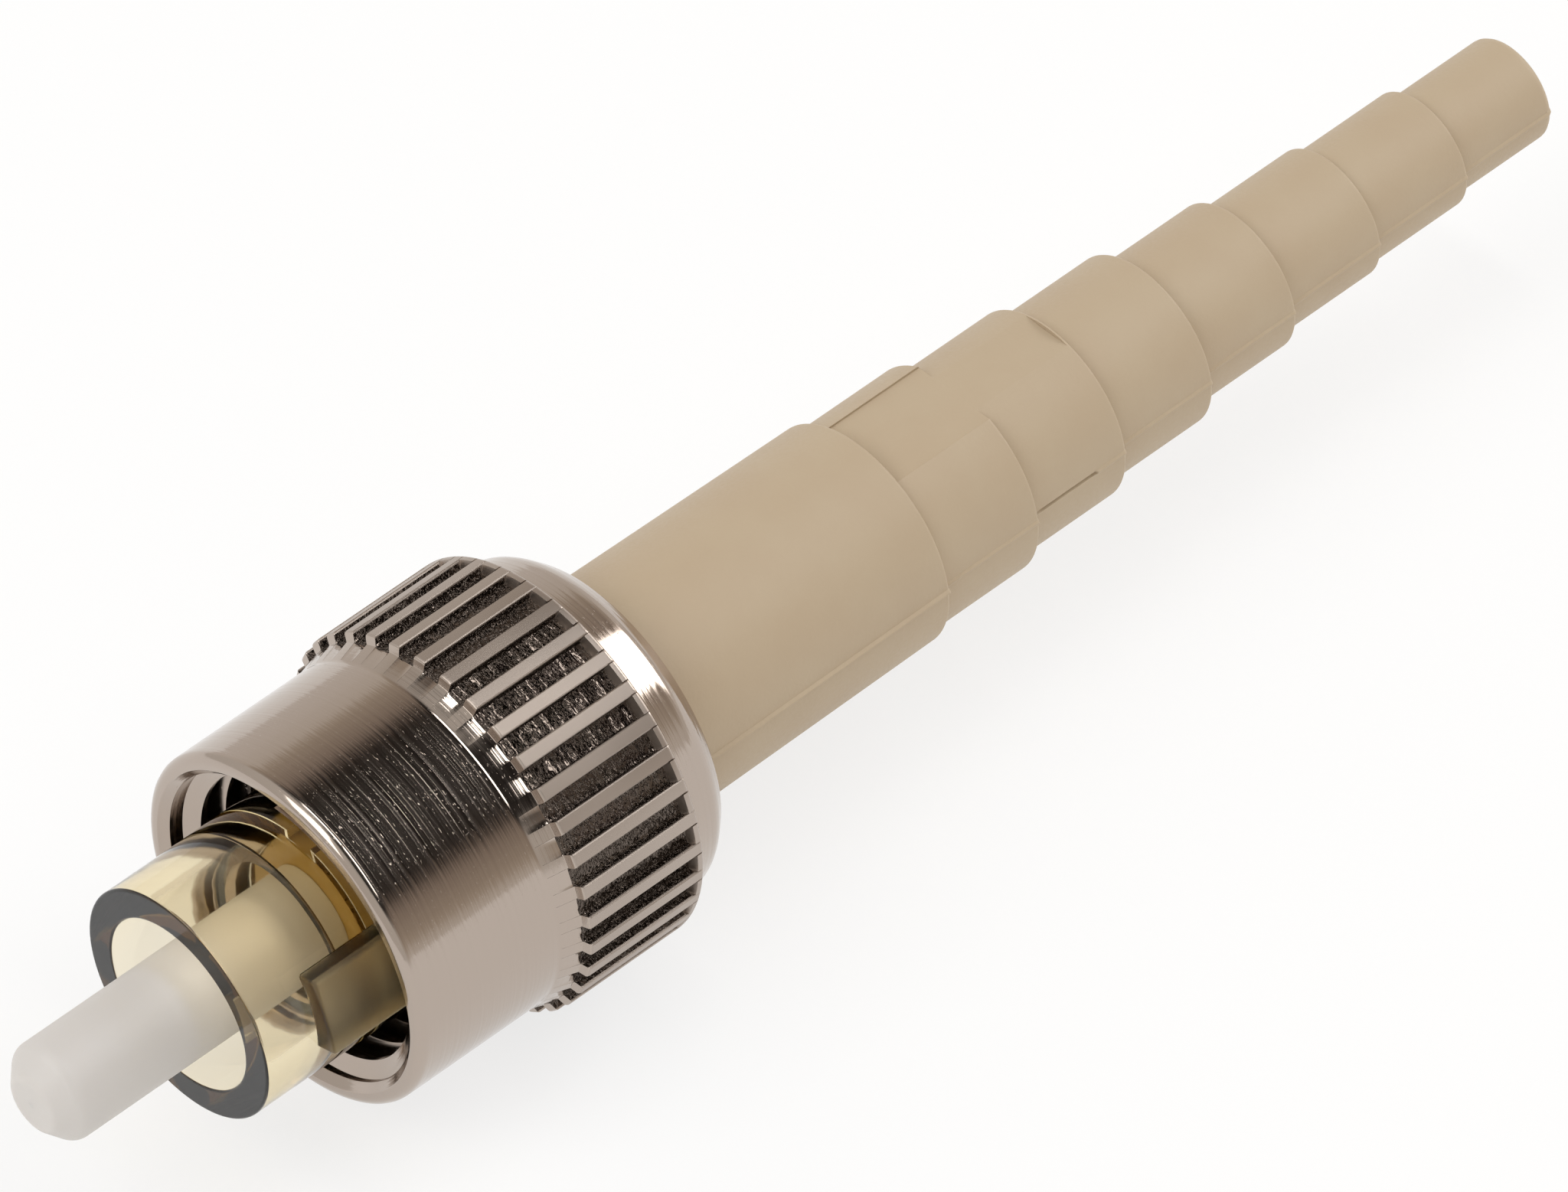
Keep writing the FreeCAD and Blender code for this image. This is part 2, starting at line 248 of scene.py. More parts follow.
@dataclass(frozen=True)
class MouldedBeige:
    """Soft vinyl moulded in a spark-eroded tool."""

    name: str = "moulded_beige_vinyl"
    colour: str = "#BCAA90"
    shade: str = "#BAA78D"
    patch_mm: float = 1.6
    grain_mm: float = 0.09
    grain_depth: float = 0.000005
    roughness: float = 0.5
    index: float = 1.5
    gloss: float = 0.4

    def material(self) -> bpy.types.Material:
        """Beige body colour with faint clouds under a fine grain."""
        # Matt, with a soft broad highlight. The grain is drawn coarser than real so that it shows.
        made, tree, place = new_material(self.name)
        patches = noise(tree, place, (self.patch_mm,) * 3, 4.0)
        tone = two_tone(tree, self.colour, self.shade, spread(tree, patches, (0.36, 0.64)))
        grain = noise(tree, place, (self.grain_mm,) * 3, 3.0)
        haze = spread(tree, grain, (0.3, 0.7), (self.roughness - 0.07, self.roughness + 0.07))
        skin = fine_relief(tree, self.grain_depth, grain)
        shader = add_node(
            tree, "ShaderNodeBsdfPrincipled", {"IOR": self.index, "Specular IOR Level": self.gloss},
            {"Base Color": tone, "Roughness": haze, "Normal": skin},
        )
        show(tree, shader)
        return made


@dataclass(frozen=True)
class ClearAmber:
    """Polyetherimide moulded in a polished tool."""

    name: str = "clear_amber_polyetherimide"
    surface: str = "#FBF8F2"
    lit: str = "#F8F4EA"
    depth_colour: str = "#F0E0A0"
    density: float = 430.0
    index: float = 1.5
    roughness: float = 0.05
    flow_mm: float = 1.1
    flow_depth: float = 0.000008
    frosts: tuple[Place, ...] = ((2.985, 0.3), (3.37, 0.4))
    frost_rise_mm: float = 0.03

    def material(self) -> bpy.types.Material:
        """Clear resin whose colour comes from its thickness."""
        # Thin walls are pale, thick ones gold and end faces dark. Lamp light passes to the pieces inside.
        # The key is frosted by its textured tool, most of all on its outer face.
        made, tree, place = new_material(self.name)
        flow = noise(tree, place, (self.flow_mm,) * 3, 2.0)
        rough = spread(tree, flow, (0.3, 0.7), (self.roughness * 0.6, self.roughness * 1.6))
        across = add_node(tree, "ShaderNodeVectorMath", {"operation": "MULTIPLY", 1: (1, 0, 1)}, {0: place})
        reach = add_node(tree, "ShaderNodeVectorMath", {"operation": "LENGTH"}, {0: across.outputs["Vector"]})
        for start_mm, amount in self.frosts:
            rise = (start_mm * MM, (start_mm + self.frost_rise_mm) * MM)
            frosted = spread(tree, reach.outputs["Value"], rise, (0.0, amount))
            added = add_node(tree, "ShaderNodeMath", {"operation": "ADD"}, {0: rough, 1: frosted})
            rough = added.outputs["Value"]
        waves = fine_relief(tree, self.flow_depth, flow)
        shader = add_node(
            tree, "ShaderNodeBsdfPrincipled",
            {"Base Color": linear(self.surface), "Transmission Weight": 1.0, "IOR": self.index},
            {"Roughness": rough, "Normal": waves},
        )
        ray = add_node(tree, "ShaderNodeLightPath", {})
        lit = add_node(tree, "ShaderNodeBsdfTransparent", {"Color": linear(self.lit)})
        passing = add_node(
            tree, "ShaderNodeMixShader", {},
            {0: ray.outputs["Is Shadow Ray"], 1: shader.outputs["BSDF"], 2: lit.outputs["BSDF"]},
        )
        inside = add_node(
            tree, "ShaderNodeVolumeAbsorption", {"Color": linear(self.depth_colour), "Density": self.density}
        )
        add_node(
            tree, "ShaderNodeOutputMaterial", {},
            {"Surface": passing.outputs["Shader"], "Volume": inside.outputs["Volume"]},
        )
        return made


@dataclass(frozen=True)
class GroundZirconia:
    """White zirconia, centreless ground and polished."""

    name: str = "ground_zirconia"
    colour: str = "#D4D0CC"
    roughness: float = 0.55
    scratch_mm: float = 0.05
    scratch_run_mm: float = 3.0
    scratch_depth: float = 0.0000012
    index: float = 1.9
    glow: float = 0.35
    glow_mm: float = 0.4
    glow_reach: Point = (1.0, 0.95, 0.85)

    def material(self) -> bpy.types.Material:
        """White ceramic with grinding lines along the pin."""
        # Satin white that lets a little light in, so that its shades stay soft.
        made, tree, place = new_material(self.name)
        scratches = noise(tree, place, (self.scratch_mm, self.scratch_run_mm, self.scratch_mm), 2.0)
        haze = spread(tree, scratches, (0.3, 0.7), (self.roughness - 0.06, self.roughness + 0.06))
        skin = fine_relief(tree, self.scratch_depth, scratches)
        shader = add_node(
            tree, "ShaderNodeBsdfPrincipled",
            {
                "Base Color": linear(self.colour),
                "IOR": self.index,
                "Subsurface Weight": self.glow,
                "Subsurface Radius": self.glow_reach,
                "Subsurface Scale": self.glow_mm * MM,
            },
            {"Roughness": haze, "Normal": skin},
        )
        show(tree, shader)
        return made


@dataclass(frozen=True)
class DrawnMetal:
    """A small drawn or turned metal piece."""

    name: str
    colour: str
    roughness: float
    line_mm: float = 0.06
    line_run_mm: float = 2.0
    line_depth: float = 0.0000015

    def material(self) -> bpy.types.Material:
        """Metal with fine tool lines round the axis."""
        # The lines spread the highlight across the piece.
        made, tree, place = new_material(self.name)
        lines = noise(tree, place, (self.line_run_mm, self.line_mm, self.line_run_mm), 3.0)
        haze = spread(tree, lines, (0.3, 0.7), (self.roughness * 0.8, self.roughness * 1.3))
        skin = fine_relief(tree, self.line_depth, lines)
        shader = add_node(
            tree, "ShaderNodeBsdfPrincipled", {"Base Color": linear(self.colour), "Metallic": 1.0},
            {"Roughness": haze, "Normal": skin},
        )
        show(tree, shader)
        return made


@dataclass(frozen=True)
class MouldedResin:
    """A small moulded or drawn piece of resin or glass."""

    name: str
    colour: str
    shade: str
    roughness: float = 0.35
    clearness: float = 0.0
    index: float = 1.55
    cloud_mm: float = 0.8
    cloud_depth: float = 0.000004

    def material(self) -> bpy.types.Material:
        """Body colour with faint clouds under a smooth skin."""
        # Smooth from the tool, with a small clean highlight and a slightly cloudy body.
        made, tree, place = new_material(self.name)
        clouds = noise(tree, place, (self.cloud_mm,) * 3, 3.0)
        tone = two_tone(tree, self.colour, self.shade, spread(tree, clouds, (0.35, 0.65)))
        haze = spread(tree, clouds, (0.3, 0.7), (self.roughness * 0.85, self.roughness * 1.2))
        skin = fine_relief(tree, self.cloud_depth, clouds)
        shader = add_node(
            tree, "ShaderNodeBsdfPrincipled", {"IOR": self.index, "Transmission Weight": self.clearness},
            {"Base Color": tone, "Roughness": haze, "Normal": skin},
        )
        show(tree, shader)
        return made


# Mesh helpers


def rounded(corners: list[Point], steps: int = 5, hold: float = 0.02) -> list[Place]:
    """Rounds the corners of a closed profile.

    Args:
        corners: station, radius and rounding of each corner, in millimetres and in order.
        steps: facets across each rounding.
        hold: distance from a rounding to the row that keeps the shading of a long run straight.

    Returns:
        The stations and radii of the profile's points.
    """
    path: list[Place] = []
    for i, (y, r, size) in enumerate(corners):
        corner = Vector((y, r))
        if not size:
            path.append((y, r))
            continue
        back = Vector(corners[i - 1][:2]) - corner
        ahead = Vector(corners[(i + 1) % len(corners)][:2]) - corner
        before, after = back.normalized(), ahead.normalized()
        half = before.angle(after) / 2
        reach = size / math.tan(half)
        middle = corner + (before + after).normalized() * (size / math.sin(half))
        start = corner + before * reach - middle
        finish = corner + after * reach - middle
        room = 3 * (reach + hold)
        if back.length > room:
            path.append(tuple(corner + before * (reach + hold)))
        for k in range(steps + 1):
            arm = start.lerp(finish, k / steps).normalized() * size
            path.append(tuple(middle + arm))
        if ahead.length > room:
            path.append(tuple(corner + after * (reach + hold)))
    return path


def turned_rows(profile: list[Place], columns: int) -> list[list[Point]]:
    """Sweeps a profile round the axis.

    Args:
        profile: stations and radii in millimetres.
        columns: steps round the axis.

    Returns:
        One row of points for each point of the profile.
    """
    turns = [2 * math.pi * j / columns for j in range(columns)]
    return [[(r * math.cos(t), y, r * math.sin(t)) for t in turns] for y, r in profile]


def tidy_shading(piece: bpy.types.Object, crease_deg: float) -> None:
    """Turns the faces outwards and shades them smooth between crisp edges.

    Args:
        piece: the mesh object to shade.
        crease_deg: edges sharper than this stay crisp.
    """
    work = bmesh.new()
    work.from_mesh(piece.data)
    bmesh.ops.recalc_face_normals(work, faces=work.faces)
    if work.calc_volume(signed=True) < 0:
        bmesh.ops.reverse_faces(work, faces=work.faces)
    work.to_mesh(piece.data)
    work.free()
    piece.data.polygons.foreach_set("use_smooth", [True] * len(piece.data.polygons))
    piece.data.set_sharp_from_angle(angle=math.radians(crease_deg))


def mesh_object(name: str, points: list[Point], faces: list[tuple], crease_deg: float) -> bpy.types.Object:
    """Makes a mesh object from points in millimetres.

    Args:
        name: the object's name.
        points: the corners, in millimetres.
        faces: the numbers of each face's corners.
        crease_deg: edges sharper than this stay crisp.

    Returns:
        The new object, linked to the scene.
    """
    mesh = bpy.data.meshes.new(name)
    mesh.from_pydata([tuple(value * MM for value in point) for point in points], [], faces)
    made = bpy.data.objects.new(name, mesh)
    bpy.context.scene.collection.objects.link(made)
    tidy_shading(made, crease_deg)
    return made


def ring_object(name: str, rows: list[list[Point]], crease_deg: float) -> bpy.types.Object:
    """Makes a closed ring of quads, rows round the section and columns round the axis.

    Args:
        name: the object's name.
        rows: points in millimetres, the same number in each row.
        crease_deg: edges sharper than this stay crisp.

    Returns:
        The new object, linked to the scene.
    """
    columns = len(rows[0])
    faces = []
    for i in range(len(rows)):
        here, there = i * columns, (i + 1) % len(rows) * columns
        for j in range(columns):
            k = (j + 1) % columns
            faces.append((here + j, here + k, there + k, there + j))
    return mesh_object(name, [point for row in rows for point in row], faces, crease_deg)


def bar_object(name: str, low: Point, high: Point, bevel: float, turn_deg: float) -> bpy.types.Object:
    """Makes a bar with bevelled edges, turned about the axis.

    Args:
        name: the object's name.
        low: lowest corner in millimetres, before turning.
        high: highest corner in millimetres, before turning.
        bevel: width of the edge bevel in millimetres.
        turn_deg: turn about the axis, from +Z towards +X.

    Returns:
        The new object, linked to the scene.
    """
    work = bmesh.new()
    bmesh.ops.create_cube(work, size=1.0)
    size = Vector(high) - Vector(low)
    middle = (Vector(high) + Vector(low)) / 2
    place = Matrix.Rotation(math.radians(turn_deg), 4, "Y") @ Matrix.Translation(middle * MM)
    bmesh.ops.transform(work, matrix=Matrix.Diagonal((*(size * MM), 1.0)), verts=work.verts)
    if bevel:
        bmesh.ops.bevel(work, geom=work.edges, offset=bevel * MM, segments=3, profile=0.5, affect="EDGES")
    bmesh.ops.transform(work, matrix=place, verts=work.verts)
    mesh = bpy.data.meshes.new(name)
    work.to_mesh(mesh)
    work.free()
    made = bpy.data.objects.new(name, mesh)
    bpy.context.scene.collection.objects.link(made)
    return made


def combine(blank: bpy.types.Object, tool: bpy.types.Object, how: Cut, crease_deg: float) -> None:
    """Joins a tool shape with a blank and removes the tool.

    Args:
        blank: the mesh object that is changed.
        tool: the shape that is added or taken away.
        how: whether the tool is added or taken away.
        crease_deg: edges sharper than this stay crisp.
    """
    step = blank.modifiers.new("cut", "BOOLEAN")
    step.operation = how.value
    step.solver = "EXACT"
    step.object = tool
    ready = blank.evaluated_get(bpy.context.evaluated_depsgraph_get())
    mesh = bpy.data.meshes.new_from_object(ready)
    blank.modifiers.clear()
    old, blank.data = blank.data, mesh
    bpy.data.meshes.remove(old)
    bpy.data.objects.remove(tool)
    tidy_shading(blank, crease_deg)


def place_piece(piece: bpy.types.Object, body: Body, slot: str, *finishes: bpy.types.Material) -> None:
    """Dresses a piece and puts it on its body.

    Args:
        piece: the finished mesh object.
        body: the body it rides on.
        slot: not used.
        finishes: its materials, the main one first.
    """
    piece.data.materials.clear()
    for finish in finishes:
        piece.data.materials.append(finish)
    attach(piece, body.value)
    LOG.info("%s: %d faces on %s", piece.name, len(piece.data.polygons), body.value)


# The plug's pieces


@dataclass
class CouplingNut:
    """Coupling nut, smooth in front and fluted behind, with its inner thread. Sizes in millimetres."""

    front: float = 3.14
    bore_r: float = 4.0
    mouth: float = 0.2
    mouth_round: float = 0.03
    front_r: float = 4.56
    front_round: float = 0.25
    shoulder: float = 7.3
    shoulder_round: float = 0.3
    cone_top: Place = (7.86, 4.725)
    cone_round: float = 0.02
    band_start: float = 7.93
    band_r: float = 4.96
    band_end: float = 11.35
    band_round: Place = (0.08, 0.1)
    bead_r: float = 4.6
    bead_root: float = 0.04
    bead_crest: Place = (12.35, 4.36)
    bead_round: float = 0.8
    end: float = 12.8
    end_r: float = 3.95
    end_round: float = 0.2
    hole_r: float = 3.055
    hole_round: float = 0.05
    lip: float = 11.05
    cavity_r: float = 3.7
    groove_r: float = 4.25
    groove: Place = (8.5, 9.1)
    flutes: int = 36
    flute_end: float = 11.15
    flute_half: float = 0.25
    flute_floor_r: float = 4.72
    flute_lip: Place = (0.12, 0.025)
    chatter: float = 0.016
    chatter_step: float = 0.08
    pitch: float = 0.75
    thread_crest_r: float = 3.62
    thread: Place = (3.42, 8.4)
    thread_flat: float = 0.12
    thread_sunk: float = 0.02
    turn_steps: int = 96
    crease_deg: float = 30.0
    thread_crease_deg: float = 40.0

    def profile(self) -> list[Place]:
        """Stations and radii round the section, with close rows along the flutes."""
        path = rounded([
            (self.front + self.mouth, self.bore_r, self.mouth_round),
            (self.front, self.bore_r + self.mouth, self.mouth_round),
            (self.front, self.front_r, self.front_round),
            (self.shoulder, self.front_r, self.shoulder_round),
            (*self.cone_top, self.cone_round),
            (self.band_start, self.band_r, self.band_round[0]),
            (self.band_end, self.band_r, self.band_round[1]),
            (self.band_end, self.bead_r, self.bead_root),
            (*self.bead_crest, self.bead_round),
            (self.end, self.end_r, self.end_round),
            (self.end, self.hole_r, self.hole_round),
            (self.lip, self.hole_r, 0),
            (self.lip, self.cavity_r, 0),
            (self.groove[1], self.cavity_r, 0),
            (self.groove[1], self.groove_r, 0),
            (self.groove[0], self.groove_r, 0),
            (self.groove[0], self.bore_r, 0),
        ])
        rows: list[Place] = []
        for y, r in path:
            if rows and self.fluted(*rows[-1]) and r > self.flute_floor_r:
                last = Vector(rows[-1])
                parts = math.ceil((y - last.x) / self.chatter_step)
                rows += [tuple(last.lerp(Vector((y, r)), k / parts)) for k in range(1, parts)]
            rows.append((y, r))
        return rows

    def fluted(self, y: float, r: float) -> bool:
        """Whether the flutes cut the section at a place of the profile."""
        return r > self.flute_floor_r - self.flute_lip[1] and y < self.flute_end

    def floor_at(self, y: float) -> float:
        """Height of a flute's floor at a station; its front edge is rounded off."""
        length, drop = self.flute_lip
        left = max(0.0, 1 - (y - self.cone_top[0]) / length)
        return self.flute_floor_r - drop * min(1.0, left) ** 2

    def section(self, floor: float) -> list[Place]:
        """One flute across: sideways place and height, from land to land.

        Args:
            floor: height of the flute's floor.

        Returns:
            The section's points in millimetres.
        """
        half, top = self.flute_half, self.band_r
        # Floor, rounded root, wall, rounded lip and the land beside it.
        side = [
            (half * 0.35, floor), (half * 0.7, floor), (half - 0.02, floor + 0.012), (half, floor + 0.045),
            (half, top - 0.06), (half + 0.012, top - 0.028), (half + 0.04, top), (half + 0.11, top + 0.05),
        ]
        return [(-t, h) for t, h in reversed(side)] + [(0.0, floor)] + side

    def row(self, y: float, r: float, chance: random.Random) -> list[Point]:
        """Points round the nut at one place of the profile.

        Args:
            y: the station.
            r: the radius of the plain section there.
            chance: source of the cutter's uneven marks.

        Returns:
            The points in millimetres.
        """
        cut = self.fluted(y, r)
        torn = cut and y > self.cone_top[0] + self.flute_lip[0]
        across = self.section(self.floor_at(y) if cut else self.band_r)
        points: list[Point] = []
        for i in range(self.flutes):
            turn = 2 * math.pi * i / self.flutes
            step = chance.uniform(-self.chatter, self.chatter)
            for t, h in across:
                on_floor = torn and abs(t) < self.flute_half - 0.01
                lift = step + chance.uniform(-self.chatter, self.chatter) / 2 if on_floor else 0.0
                reach = min(math.hypot(t, h + lift), r)
                angle = turn + math.atan2(t, h)
                points.append((reach * math.sin(angle), y, reach * math.cos(angle)))
        return points

    def finishes(self) -> list[int]:
        """The finish of each face of the shell, in the order of its rows and columns."""
        profile = self.profile()
        across = self.section(self.flute_floor_r)
        found: list[int] = []
        for (y, r), (next_y, next_r) in zip(profile, profile[1:] + profile[:1]):
            low = min(r, next_r)
            cut = low > self.flute_floor_r and self.fluted(y, r) and self.fluted(next_y, next_r)
            kind = PlateFinish.LAND if low > self.band_r - 0.03 else PlateFinish.SMOOTH
            row: list[int] = []
            for k in range(len(across)):
                middle = (across[k][0] + across[(k + 1) % len(across)][0]) / 2
                inside = k + 1 < len(across) and abs(middle) < self.flute_half + 0.001
                row.append((PlateFinish.FLOOR if cut and inside else kind).value)
            found += row * self.flutes
        return found

    def shell(self) -> bpy.types.Object:
        """The nut's body with its flutes."""
        chance = random.Random(8)
        rows = [self.row(y, r, chance) for y, r in self.profile()]
        return ring_object("nut_body", rows, self.crease_deg)

    def thread_ridge(self) -> bpy.types.Object:
        """The ridge of the thread, one strip wound along the bore."""
        start, finish = self.thread
        turns = (finish - start) / self.pitch
        steps = int(turns * self.turn_steps)
        flank = (self.bore_r - self.thread_crest_r) * math.tan(math.radians(30))
        flat = self.thread_flat / 2
        root = self.bore_r + self.thread_sunk
        points: list[Point] = []
        for i in range(steps + 1):
            share = i / steps
            fade = min(1.0, share * turns * 3, (1 - share) * turns * 3)
            crest = root - (root - self.thread_crest_r) * fade
            y = start + (finish - start) * share
            angle = 2 * math.pi * turns * share
            for shift, r in ((-flank - flat, root), (-flat, crest), (flat, crest), (flank + flat, root)):
                points.append((r * math.sin(angle), y + shift, r * math.cos(angle)))
        faces: list[tuple] = []
        for here in range(0, 4 * steps, 4):
            faces += [(here + k, here + k + 1, here + k + 5, here + k + 4) for k in range(3)]
        faces += [(4 * i + 3, 4 * i, 4 * i + 4, 4 * i + 7) for i in range(steps)]
        faces += [(0, 1, 2, 3), tuple(4 * steps + k for k in (3, 2, 1, 0))]
        return mesh_object("nut_thread", points, faces, self.thread_crease_deg)

    def build(self, plates: dict[PlateFinish, bpy.types.Material]) -> None:
        """Makes the nut and its thread.

        Args:
            plates: the nut's finishes.
        """
        body = self.shell()
        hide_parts("coupling_nut")
        place_piece(body, Body.NUT, "coupling_nut", *[plates[kind] for kind in PlateFinish])
        body.data.polygons.foreach_set("material_index", self.finishes())
        place_piece(self.thread_ridge(), Body.NUT, "coupling_nut", plates[PlateFinish.SMOOTH])


@dataclass
class PlugFrame:
    """Clear moulded frame with the nose, the key and the hidden chamber. Sizes in millimetres."""

    nose_r: float = 2.975
    bore_r: float = 2.22
    rim_round: float = 0.06
    depth: float = 2.87
    stop_r: float = 1.85
    seat: float = 3.75
    chamber_r: float = 2.3
    retainer: float = 9.6
    retainer_r: float = 2.45
    end: float = 12.2
    flange: Place = (9.5, 10.6)
    flange_r: float = 3.45
    key: Place = (1.5, 4.5)
    key_half: float = 1.0
    key_root: float = 2.525
    key_top: float = 3.42
    key_round: float = 0.08
    key_tilt: float = 15.0
    rib: Place = (3.31, 5.05)
    rib_half: float = 0.35
    rib_r: Place = (1.85, 2.6375)
    bore_round: float = 0.1
    columns: int = 180
    crease_deg: float = 30.0

    def build(self, amber: bpy.types.Material) -> None:
        """Makes the frame in one clear piece.

        Args:
            amber: the frame's finish.
        """
        section = rounded([
            (0, self.bore_r, self.rim_round), (0, self.nose_r, self.rim_round),
            (self.flange[0], self.nose_r, 0), (self.flange[0], self.flange_r, 0),
            (self.flange[1], self.flange_r, 0), (self.flange[1], self.nose_r, 0),
            (self.end, self.nose_r, 0), (self.end, self.retainer_r, 0),
            (self.retainer, self.retainer_r, 0), (self.retainer, self.chamber_r, 0),
            (self.seat, self.chamber_r, 0), (self.seat, self.stop_r, 0),
            (self.depth, self.stop_r, 0), (self.depth, self.bore_r, self.bore_round),
        ])
        piece = ring_object("frame_body", turned_rows(section, self.columns), self.crease_deg)
        key = bar_object(
            "key", (-self.key_half, self.key[0], self.key_root), (self.key_half, self.key[1], self.key_top),
            self.key_round, 90 - self.key_tilt,
        )
        combine(piece, key, Cut.ADD, self.crease_deg)
        low = (-self.rib_half, self.rib[0], self.rib_r[0])
        high = (self.rib_half, self.rib[1], self.rib_r[1])
        for turn in (0, 180):
            combine(piece, bar_object("rib", low, high, 0, turn), Cut.ADD, self.crease_deg)
        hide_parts("plug_frame")
        place_piece(piece, Body.PLUG, "plug_frame", amber)


@dataclass
class Ferrule:
    """Ceramic pin with a softly rounded lead-in and a fine bore. Sizes in millimetres."""

    tip: float = -4.33
    tip_r: float = 0.7
    tip_round: float = 0.28
    lead: float = 0.53
    lead_round: float = 0.4
    pin_r: float = 1.25
    seat: float = 3.75
    shank_r: float = 1.0
    end: float = 6.75
    seat_round: float = 0.03
    end_round: float = 0.05
    bore_r: float = 0.0635
    columns: int = 144
    crease_deg: float = 40.0

    def build(self, ceramic: bpy.types.Material) -> None:
        """Makes the pin.

        Args:
            ceramic: the pin's finish.
        """
        section = rounded([
            (self.tip, self.bore_r, 0), (self.tip, self.tip_r, self.tip_round),
            (self.tip + self.lead, self.pin_r, self.lead_round), (self.seat, self.pin_r, self.seat_round),
            (self.seat, self.shank_r, 0), (self.end, self.shank_r, self.end_round),
            (self.end, self.bore_r, 0),
        ], 8)
        piece = ring_object("ferrule_body", turned_rows(section, self.columns), self.crease_deg)
        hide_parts("ferrule")
        place_piece(piece, Body.FERRULE, "ferrule", ceramic)


@dataclass
class Spring:
    """Round-wire spring that shortens as the ferrule is pushed back. Sizes in millimetres."""

    front: float = 5.05
    end: float = 9.59
    coil_r: float = 1.93
    wire_r: float = 0.19
    turns: int = 6
    turn_steps: int = 40
    wire_sides: int = 10
    crease_deg: float = 50.0
    travel: float = 1.0

    def station(self, turn: float) -> float:
        """The wire's place along the axis after some turns, closed at both ends."""
        low, high = self.front + self.wire_r, self.end - self.wire_r
        lead = 2 * self.wire_r
        if turn < 1:
            return low + lead * turn
        if turn > self.turns - 1:
            return high - lead * (self.turns - turn)
        return low + lead + (high - low - 2 * lead) * (turn - 1) / (self.turns - 2)

    def build(self, steel: bpy.types.Material) -> None:
        """Winds the spring and puts it on the ferrule's body, with a mesh of its own.

        Args:
            steel: the wire's finish.
        """
        steps, sides = self.turns * self.turn_steps, self.wire_sides
        points: list[Point] = []
        for i in range(steps + 1):
            angle = 2 * math.pi * i / self.turn_steps
            y = self.station(i / self.turn_steps)
            for k in range(sides):
                around = 2 * math.pi * k / sides
                r = self.coil_r + self.wire_r * math.cos(around)
                points.append((r * math.cos(angle), y + self.wire_r * math.sin(around), r * math.sin(angle)))
        faces: list[tuple] = [tuple(range(sides)), tuple(steps * sides + k for k in reversed(range(sides)))]
        for i in range(steps):
            here = i * sides
            for k in range(sides):
                there = (k + 1) % sides
                faces.append((here + k, here + there, here + sides + there, here + sides + k))
        piece = mesh_object("spring_coil", points, faces, self.crease_deg)
        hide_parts("spring")
        place_piece(piece, Body.FERRULE, "spring", steel)
        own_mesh(piece)


